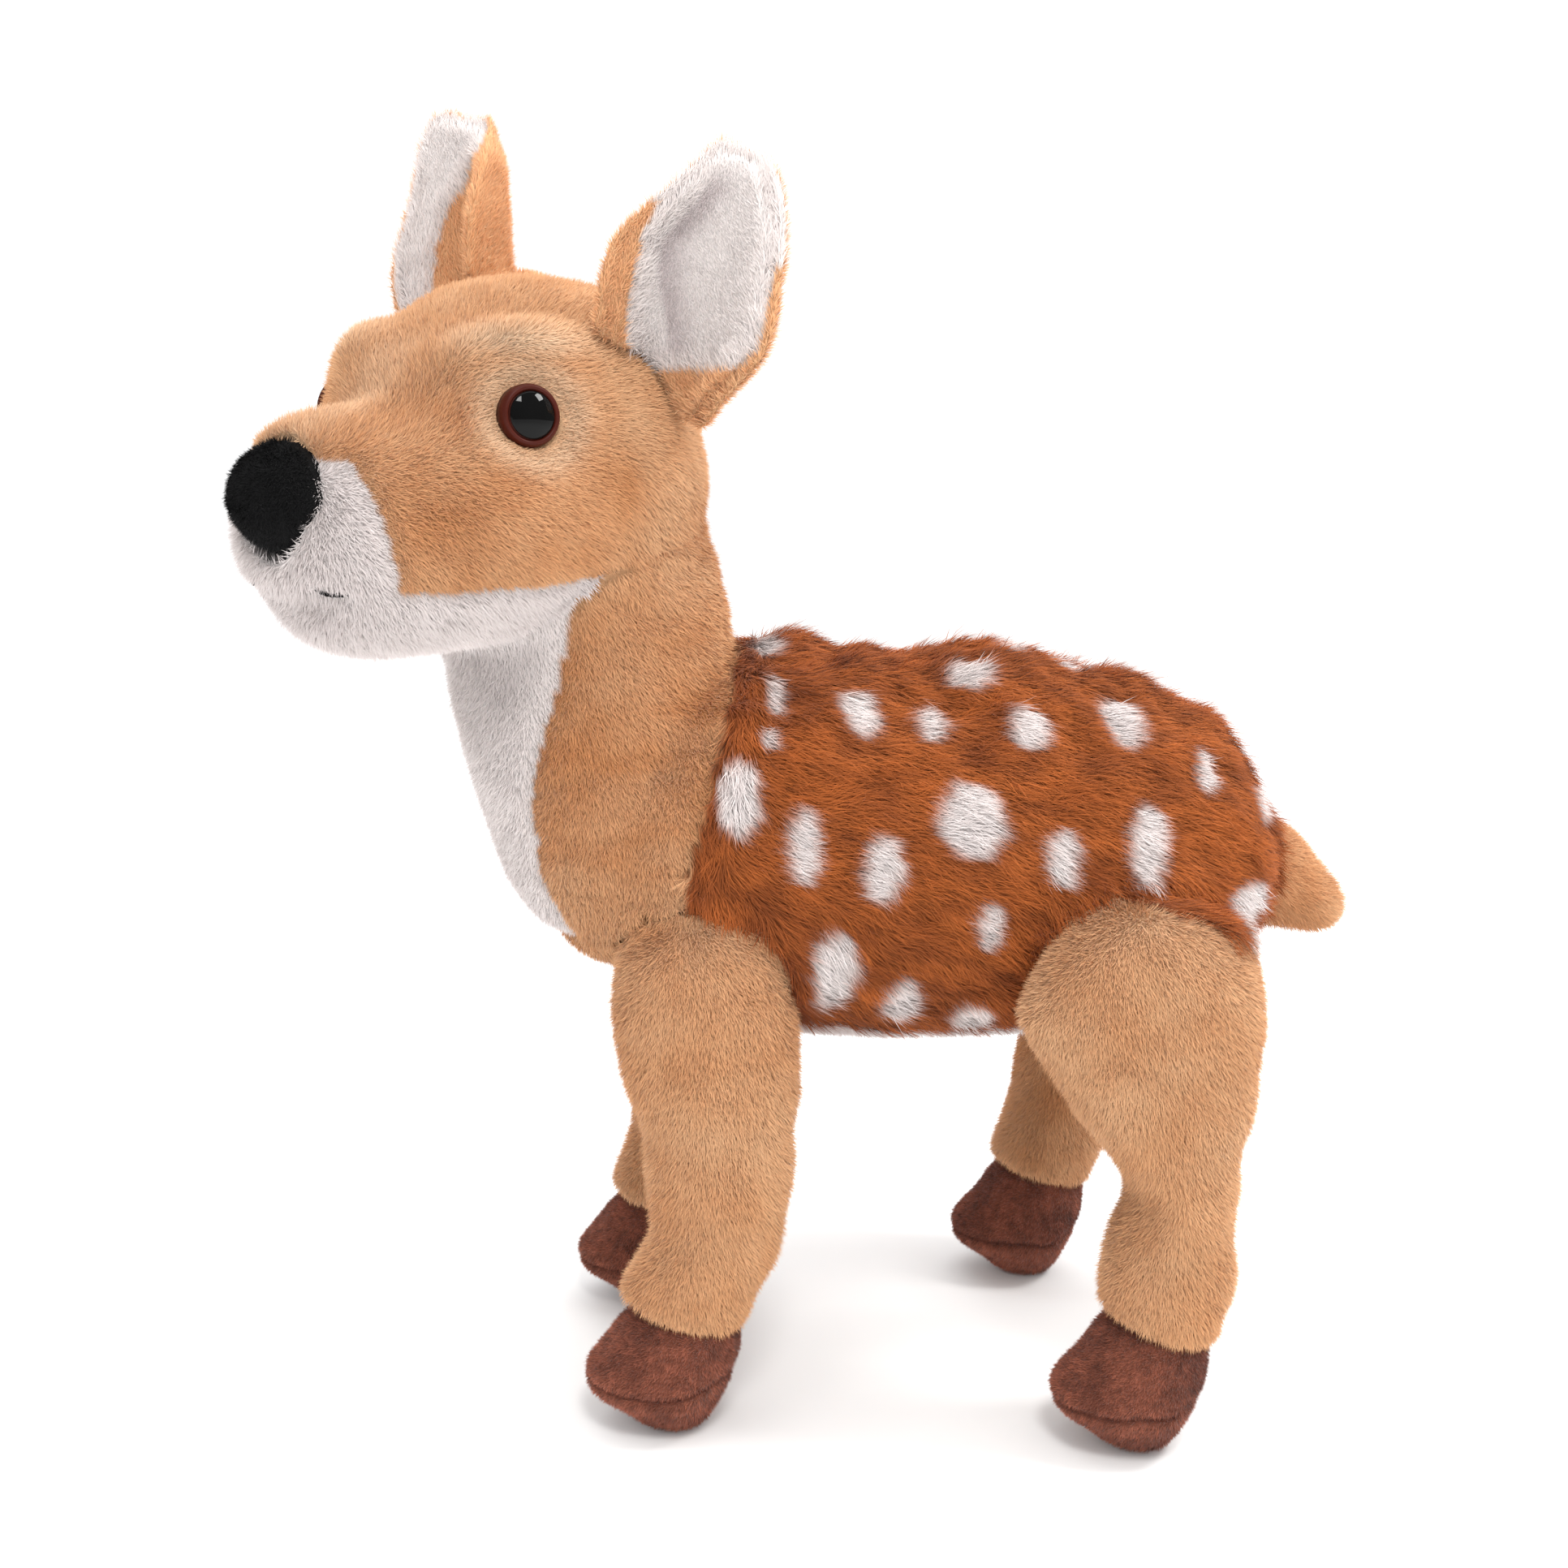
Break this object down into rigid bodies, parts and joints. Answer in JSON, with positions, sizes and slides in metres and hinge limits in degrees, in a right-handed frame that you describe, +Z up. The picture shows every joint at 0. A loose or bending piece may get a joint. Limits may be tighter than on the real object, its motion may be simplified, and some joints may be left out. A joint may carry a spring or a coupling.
{
  "type": "plush deer",
  "caption": "Standing stuffed fawn with a spotted saddle, white bib and muzzle, leaf ears, soft hooves and a head that turns on its neck.",
  "frame": {"origin": "on the surface it stands on, under the middle of its box", "axes": "+Z up, -Y the way the body faces, +X the deer's left"},
  "size_m": [0.1198, 0.2514, 0.2896],
  "materials": {
    "tan": "short combed tan plush",
    "white": "short white plush",
    "rust": "long rust-brown plush with white spots",
    "black": "matt black short pile and thread",
    "hoof": "brown velour",
    "eye": "polished",
    "washer": "moulded"
  },
  "bodies": {
    "torso": {"torso": "tan", "neck": "tan", "saddle": "rust", "belly": "white", "bib": "white"},
    "head": {"head": "tan", "muzzle": "white", "nose": "black", "mouth_stitch_left": "black", "mouth_stitch_right": "black", "eye_left": "eye", "eye_right": "eye", "washer_left": "washer", "washer_right": "washer"},
    "ear_left": {"ear_left": "tan", "ear_lining_left": "white"},
    "ear_right": {"ear_right": "tan", "ear_lining_right": "white"},
    "tail": {"tail": "tan"},
    "leg_front_left": {"leg_front_left": "tan", "hoof_front_left": "hoof", "sole_front_left": "hoof"},
    "leg_front_right": {"leg_front_right": "tan", "hoof_front_right": "hoof", "sole_front_right": "hoof"},
    "leg_hind_left": {"leg_hind_left": "tan", "hoof_hind_left": "hoof", "sole_hind_left": "hoof"},
    "leg_hind_right": {"leg_hind_right": "tan", "hoof_hind_right": "hoof", "sole_hind_right": "hoof"}
  },
  "joints": [
    {"name": "head_turn", "type": "hinge", "parent": "torso", "child": "head", "pos_m": [0, -0.0598, 0.193], "axis": [0, -0.1908, 0.9816], "range_deg": [-60, 15], "stiffness_Nm_per_rad": 0.25},
    {"name": "ear_left_fold", "type": "hinge", "parent": "head", "child": "ear_left", "pos_m": [0.02111, -0.04434, 0.237], "axis": [0.0313, 0.1836, -0.9825], "range_deg": [-25, 4], "stiffness_Nm_per_rad": 0.02},
    {"name": "ear_right_fold", "type": "hinge", "parent": "head", "child": "ear_right", "pos_m": [-0.01531, -0.0704, 0.2465], "axis": [0.1658, 0.1764, 0.9702], "range_deg": [-25, 4], "stiffness_Nm_per_rad": 0.02},
    {"name": "tail_lift", "type": "hinge", "parent": "torso", "child": "tail", "pos_m": [0, 0.1015, 0.1225], "axis": [1, 0, 0], "range_deg": [-12, 20], "stiffness_Nm_per_rad": 0.02},
    {"name": "leg_front_left_swing", "type": "hinge", "parent": "torso", "child": "leg_front_left", "pos_m": [0, -0.0297, 0.098], "axis": [1, 0, 0], "range_deg": [-12, 12], "stiffness_Nm_per_rad": 0.5},
    {"name": "leg_front_right_swing", "type": "hinge", "parent": "torso", "child": "leg_front_right", "pos_m": [0, -0.0297, 0.098], "axis": [1, 0, 0], "range_deg": [-12, 12], "stiffness_Nm_per_rad": 0.5},
    {"name": "leg_hind_left_swing", "type": "hinge", "parent": "torso", "child": "leg_hind_left", "pos_m": [0, 0.0652, 0.099], "axis": [1, 0, 0], "range_deg": [-12, 12], "stiffness_Nm_per_rad": 0.5},
    {"name": "leg_hind_right_swing", "type": "hinge", "parent": "torso", "child": "leg_hind_right", "pos_m": [0, 0.0652, 0.099], "axis": [1, 0, 0], "range_deg": [-12, 12], "stiffness_Nm_per_rad": 0.5}
  ]
}
